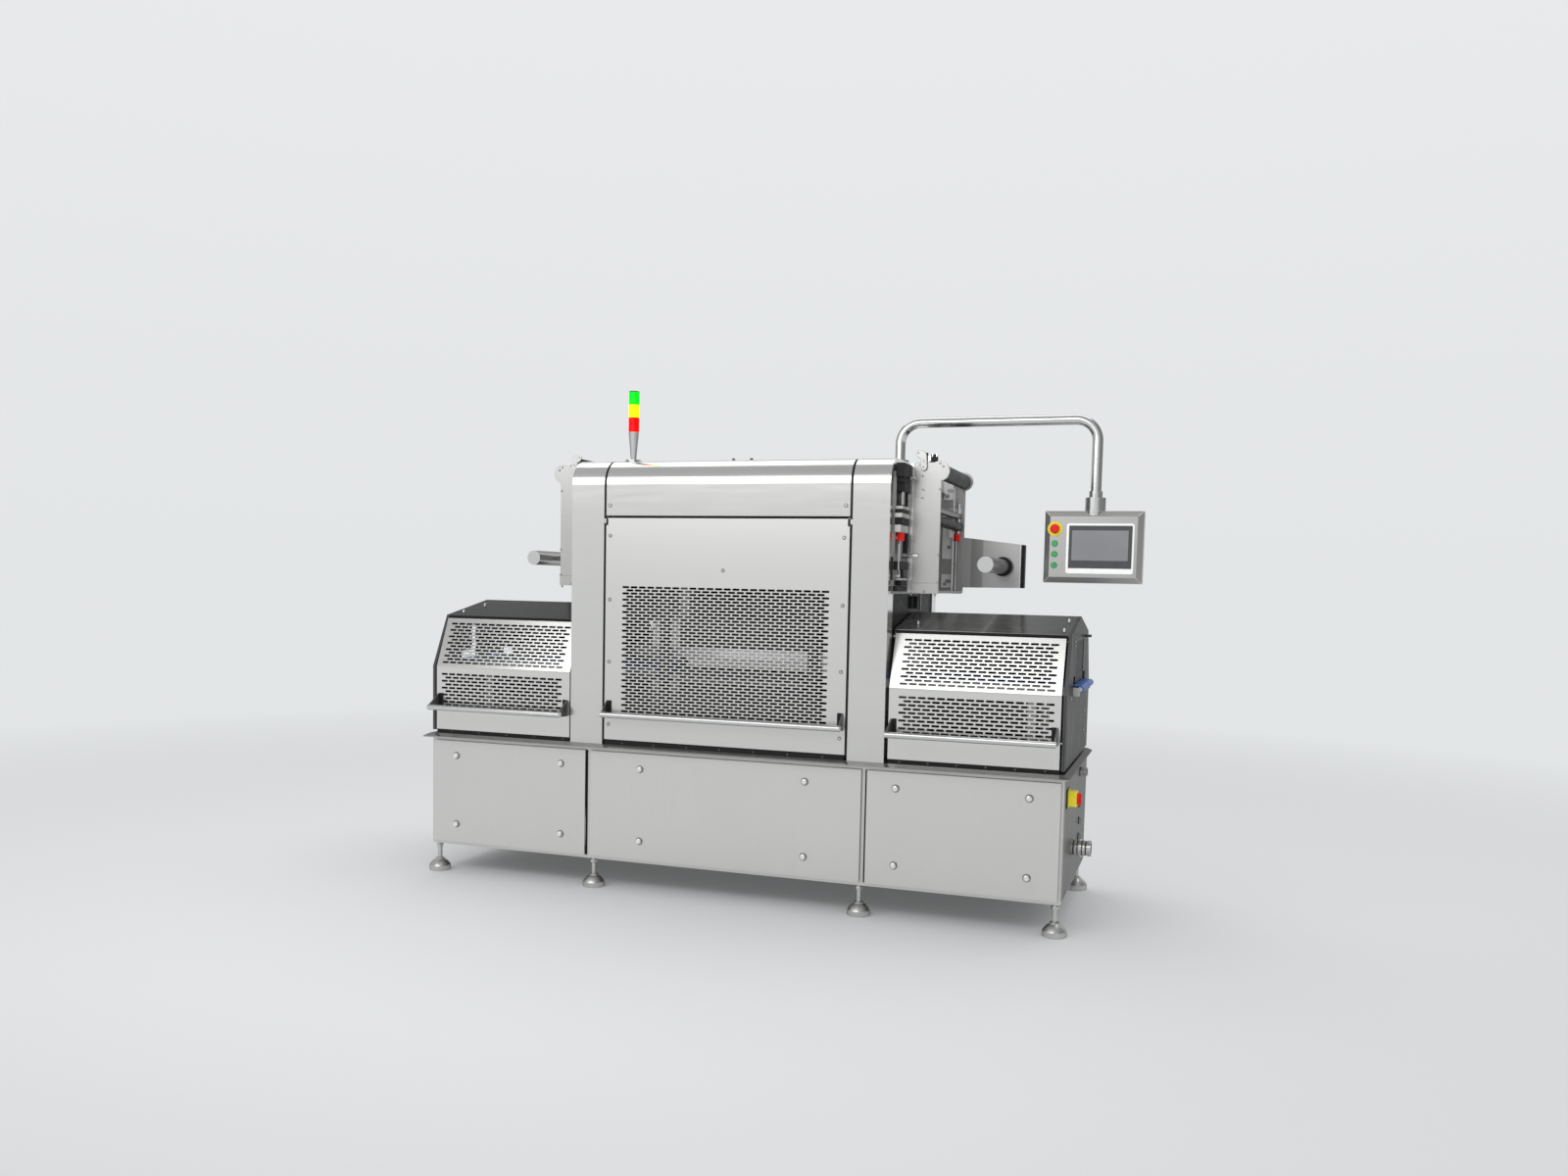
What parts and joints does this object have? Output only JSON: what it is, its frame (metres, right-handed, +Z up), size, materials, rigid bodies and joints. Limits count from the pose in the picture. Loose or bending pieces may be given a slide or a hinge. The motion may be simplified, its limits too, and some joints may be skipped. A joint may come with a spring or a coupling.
{
  "type": "tray sealer",
  "caption": "In-line tray sealer: cabinet base on levelling feet, hood with sealing press, hinged sheet guards, end conveyors, film units, lamp tower and swivelling operator panel.",
  "frame": {"origin": "centre of the front left levelling foot's sole, on the floor", "axes": "+X to the right along the machine, the way the trays travel; +Y from the operator's side to the back; +Z up"},
  "size_m": [3.5045, 1.1435, 2.439],
  "materials": {
    "frame_steel": "satin stainless",
    "panel_steel": "brushed stainless",
    "tunnel_steel": "brushed stainless",
    "guard_steel": "brushed stainless, perforated in the visual model",
    "handle_steel": "polished stainless tube",
    "foot_steel": "satin stainless",
    "film_steel": "satin stainless",
    "film_grey": "satin grey",
    "guide_steel": "satin",
    "roller_grey": "satin",
    "plinth_black": "matt black",
    "belt_blue": "matt blue",
    "tool_aluminium": "satin",
    "fitting_black": "matt black",
    "lamp_plastic": "gloss, each lamp its own colour in the visual model",
    "switch_yellow": "gloss yellow",
    "signal_red": "gloss red",
    "button_green": "gloss green",
    "panel_grey": "brushed stainless",
    "screen_glass": "gloss dark grey"
  },
  "bodies": {
    "frame": {"air_regulators": "fitting_black", "base_frame": "frame_steel", "boom_socket": "handle_steel", "deck": "panel_steel", "exhaust_port": "fitting_black", "front_doors": "panel_steel", "rear_doors": "panel_steel", "infeed_belt": "belt_blue", "outfeed_belt": "belt_blue", "infeed_cabinet_end": "panel_steel", "outfeed_cabinet_end": "panel_steel", "infeed_conveyor_bed": "frame_steel", "outfeed_conveyor_bed": "frame_steel", "infeed_end_wall": "tunnel_steel", "outfeed_end_wall": "tunnel_steel", "infeed_film_front_plate": "film_steel", "outfeed_film_front_plate": "film_steel", "infeed_film_guides": "guide_steel", "outfeed_film_guides": "guide_steel", "infeed_film_mount": "film_steel", "outfeed_film_mount": "film_steel", "infeed_film_rear_plate": "film_grey", "outfeed_film_rear_plate": "film_grey", "infeed_hood_arch": "panel_steel", "outfeed_hood_arch": "panel_steel", "infeed_rear_guard": "tunnel_steel", "outfeed_rear_guard": "tunnel_steel", "infeed_roof": "tunnel_steel", "outfeed_roof": "tunnel_steel", "levelling_feet": "foot_steel", "lower_tool": "tool_aluminium", "upper_tool": "tool_aluminium", "plinth": "plinth_black", "press_frame": "frame_steel", "rear_cover": "panel_steel", "switch_block": "switch_yellow", "top_cover": "panel_steel", "tower_lamps": "lamp_plastic", "tower_stem": "fitting_black"},
    "middle_guard": {"middle_guard": "guard_steel", "middle_handle": "handle_steel"},
    "infeed_guard": {"infeed_guard": "guard_steel", "infeed_handle": "handle_steel"},
    "outfeed_guard": {"outfeed_guard": "guard_steel", "outfeed_handle": "handle_steel"},
    "boom": {"boom": "handle_steel"},
    "operator_panel": {"panel_housing": "panel_grey", "panel_screen": "screen_glass"},
    "emergency_stop": {"emergency_stop": "signal_red"},
    "start_button": {"start_button": "button_green"},
    "stop_button": {"stop_button": "button_green"},
    "reset_button": {"reset_button": "button_green"},
    "infeed_film_shaft": {"infeed_film_shaft": "roller_grey"},
    "outfeed_film_shaft": {"outfeed_film_shaft": "roller_grey"},
    "infeed_guide_roller": {"infeed_guide_roller": "roller_grey"},
    "outfeed_guide_roller": {"outfeed_guide_roller": "roller_grey"},
    "switch_knob": {"switch_knob": "signal_red"}
  },
  "joints": [
    {"name": "middle_guard_hinge", "type": "hinge", "parent": "frame", "child": "middle_guard", "pos_m": [1.575, -0.035, 1.803], "axis": [-1, 0, 0], "range_deg": [0, 85]},
    {"name": "infeed_guard_hinge", "type": "hinge", "parent": "frame", "child": "infeed_guard", "pos_m": [0.3835, 0.0736, 1.2905], "axis": [-1, 0, 0], "range_deg": [0, 85]},
    {"name": "outfeed_guard_hinge", "type": "hinge", "parent": "frame", "child": "outfeed_guard", "pos_m": [2.7665, 0.0736, 1.2905], "axis": [-1, 0, 0], "range_deg": [0, 85]},
    {"name": "boom_swivel", "type": "hinge", "parent": "frame", "child": "boom", "pos_m": [2.2835, 0.465, 2.13], "axis": [0, 0, 1], "range_deg": [-60, 30]},
    {"name": "panel_swivel", "type": "hinge", "parent": "boom", "child": "operator_panel", "pos_m": [3.2155, 0.465, 1.883], "axis": [0, 0, 1], "range_deg": [-90, 90]},
    {"name": "infeed_shaft_spin", "type": "hinge", "parent": "frame", "child": "infeed_film_shaft", "pos_m": [0.398, 0.465, 1.627], "axis": [0, 1, 0], "continuous": true},
    {"name": "outfeed_shaft_spin", "type": "hinge", "parent": "frame", "child": "outfeed_film_shaft", "pos_m": [2.752, 0.465, 1.627], "axis": [0, 1, 0], "continuous": true},
    {"name": "infeed_roller_spin", "type": "hinge", "parent": "frame", "child": "infeed_guide_roller", "pos_m": [0.607, 0.465, 2.048], "axis": [0, 1, 0], "continuous": true},
    {"name": "outfeed_roller_spin", "type": "hinge", "parent": "frame", "child": "outfeed_guide_roller", "pos_m": [2.543, 0.465, 2.048], "axis": [0, 1, 0], "continuous": true},
    {"name": "switch_turn", "type": "hinge", "parent": "frame", "child": "switch_knob", "pos_m": [3.221, 0.069, 0.604], "axis": [1, 0, 0], "range_deg": [0, 90]},
    {"name": "emergency_stop_press", "type": "slide", "parent": "operator_panel", "child": "emergency_stop", "axis": [0, 1, 0], "range_m": [0, 0.003], "stiffness_N_per_m": 1200, "springref_m": -0.003},
    {"name": "start_press", "type": "slide", "parent": "operator_panel", "child": "start_button", "axis": [0, 1, 0], "range_m": [0, 0.003], "stiffness_N_per_m": 500, "springref_m": -0.003},
    {"name": "stop_press", "type": "slide", "parent": "operator_panel", "child": "stop_button", "axis": [0, 1, 0], "range_m": [0, 0.003], "stiffness_N_per_m": 500, "springref_m": -0.003},
    {"name": "reset_press", "type": "slide", "parent": "operator_panel", "child": "reset_button", "axis": [0, 1, 0], "range_m": [0, 0.003], "stiffness_N_per_m": 500, "springref_m": -0.003}
  ]
}
